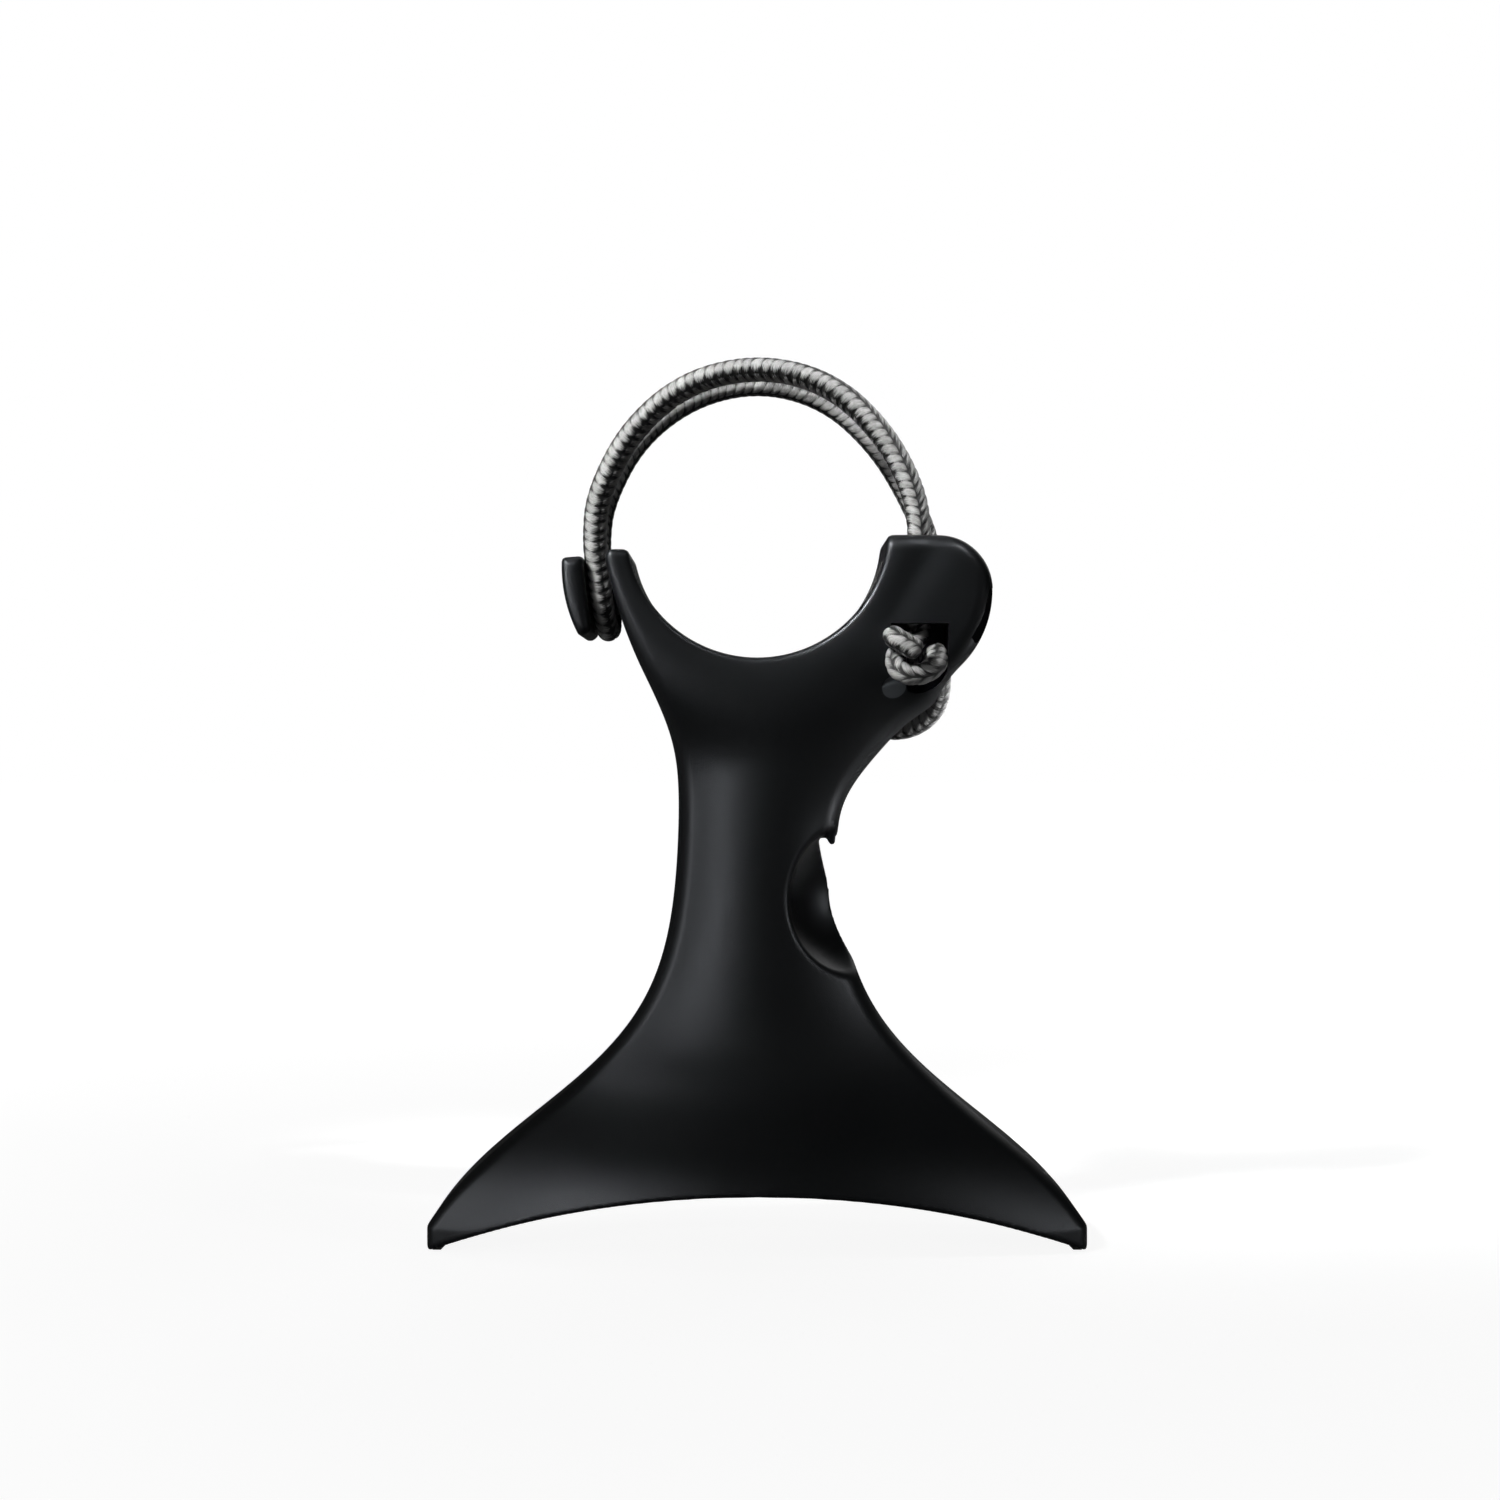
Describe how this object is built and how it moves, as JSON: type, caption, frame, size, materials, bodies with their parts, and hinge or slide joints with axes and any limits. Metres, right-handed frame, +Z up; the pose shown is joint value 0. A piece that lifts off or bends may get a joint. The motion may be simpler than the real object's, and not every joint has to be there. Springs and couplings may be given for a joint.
{
  "type": "headphone stand",
  "caption": "Free-standing matt black cradle stand with an arched flared base, a slim neck with a hooked thumb scoop, and a braided elastic loop that closes the cradle over a flanged post.",
  "frame": {"origin": "on the ground, midway between the two feet and midway through the depth of the base", "axes": "+X across the cradle towards the boss that anchors the cord, +Y through the cradle away from the viewer, +Z up"},
  "size_m": [0.1342, 0.0472, 0.1812],
  "materials": {
    "body_plastic": "matt, fine grained",
    "cover_plastic": "matt",
    "liner_rubber": "dull, soft",
    "foot_rubber": "dull",
    "screw_steel": "zinc plated",
    "ballast_iron": "as cast",
    "cord_braid": "braided sheath, grey yarns over black"
  },
  "bodies": {
    "stand": {"stand_body": "body_plastic", "hook_button": "body_plastic", "base_plate": "cover_plastic", "cradle_liner": "liner_rubber", "foot_left": "foot_rubber", "foot_right": "foot_rubber", "hook_screw": "screw_steel", "plate_screws": "screw_steel", "ballast": "ballast_iron", "cord_front": "cord_braid", "cord_back": "cord_braid", "cord_tail": "cord_braid", "front_knot": "cord_braid"},
    "loop": {"cord_bight": "cord_braid"}
  },
  "joints": [
    {"name": "loop_pull", "type": "slide", "parent": "stand", "child": "loop", "axis": [0.1045, 0, -0.9945], "range_m": [0, 0.009], "stiffness_N_per_m": 900, "springref_m": -0.004, "deforming": ["cord_front", "cord_back"]}
  ]
}
